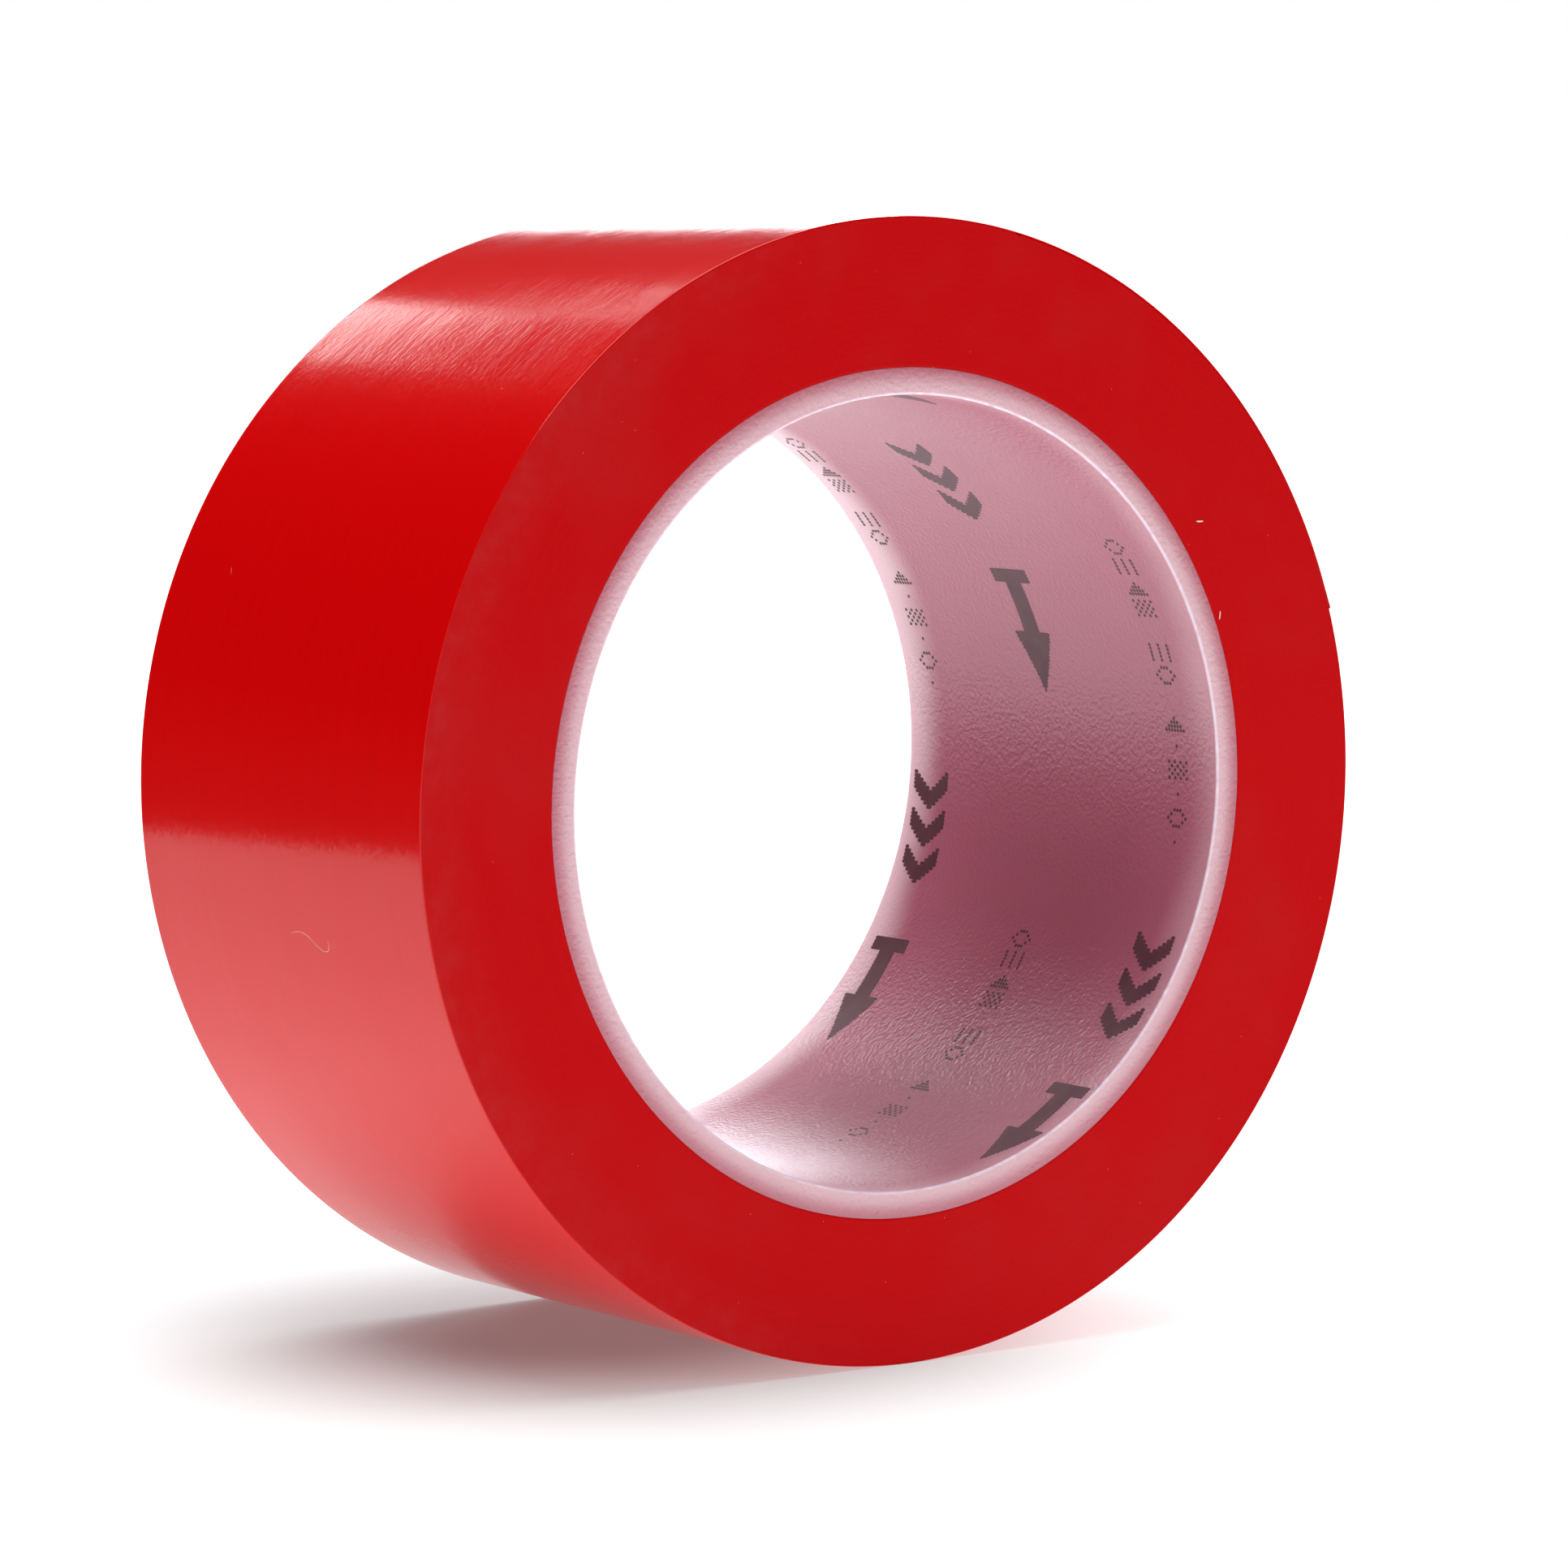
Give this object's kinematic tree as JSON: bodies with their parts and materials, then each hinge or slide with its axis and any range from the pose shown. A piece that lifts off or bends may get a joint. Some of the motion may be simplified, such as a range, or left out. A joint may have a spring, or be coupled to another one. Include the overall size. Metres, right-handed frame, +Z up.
{
  "type": "adhesive tape roll",
  "caption": "Roll of red vinyl adhesive tape on a plastic core, standing on its rim, with a free end that peels off the roll.",
  "frame": {"origin": "on the surface that the roll stands on, below the middle of the roll", "axes": "+Z up, Y along the roll's axis with the front face looking along -Y; the tail lies on the +X side and lifts off towards +Z"},
  "size_m": [0.1097, 0.0508, 0.1098],
  "materials": {
    "core_plastic": "satin",
    "vinyl_film": "satin"
  },
  "bodies": {
    "roll": {"core": "core_plastic", "wound_tape": "vinyl_film"},
    "tail_1": {"tail_1": "vinyl_film"},
    "tail_2": {"tail_2": "vinyl_film"},
    "tail_3": {"tail_3": "vinyl_film"},
    "tail_4": {"tail_4": "vinyl_film"},
    "tail_5": {"tail_5": "vinyl_film"},
    "tail_6": {"tail_6": "vinyl_film"},
    "tail_7": {"tail_7": "vinyl_film"},
    "tail_8": {"tail_8": "vinyl_film"}
  },
  "joints": [
    {"name": "peel", "type": "hinge", "parent": "roll", "child": "tail_1", "pos_m": [0.01247, 0, 0.10836], "axis": [0, -1, 0], "range_deg": [0, 30]},
    {"name": "bend_2", "type": "hinge", "parent": "tail_1", "child": "tail_2", "pos_m": [0.01934, 0, 0.10628], "axis": [0, -1, 0], "range_deg": [0, 30]},
    {"name": "bend_3", "type": "hinge", "parent": "tail_2", "child": "tail_3", "pos_m": [0.02589, 0, 0.10331], "axis": [0, -1, 0], "range_deg": [0, 30]},
    {"name": "bend_4", "type": "hinge", "parent": "tail_3", "child": "tail_4", "pos_m": [0.03199, 0, 0.09952], "axis": [0, -1, 0], "range_deg": [0, 30]},
    {"name": "curl", "type": "hinge", "parent": "tail_4", "child": "tail_5", "pos_m": [0.03755, 0, 0.09497], "axis": [0, -1, 0], "range_deg": [0, 30]},
    {"name": "bend_6", "type": "hinge", "parent": "tail_5", "child": "tail_6", "pos_m": [0.04246, 0, 0.08972], "axis": [0, -1, 0], "range_deg": [0, 30]},
    {"name": "bend_7", "type": "hinge", "parent": "tail_6", "child": "tail_7", "pos_m": [0.04665, 0, 0.08389], "axis": [0, -1, 0], "range_deg": [0, 30]},
    {"name": "bend_8", "type": "hinge", "parent": "tail_7", "child": "tail_8", "pos_m": [0.05004, 0, 0.07755], "axis": [0, -1, 0], "range_deg": [0, 30]}
  ],
  "couplings": [
    {"joint": "bend_2", "follows": "peel", "ratio": 1},
    {"joint": "bend_3", "follows": "peel", "ratio": 1},
    {"joint": "bend_4", "follows": "peel", "ratio": 1},
    {"joint": "bend_6", "follows": "curl", "ratio": 1},
    {"joint": "bend_7", "follows": "curl", "ratio": 1},
    {"joint": "bend_8", "follows": "curl", "ratio": 1}
  ]
}
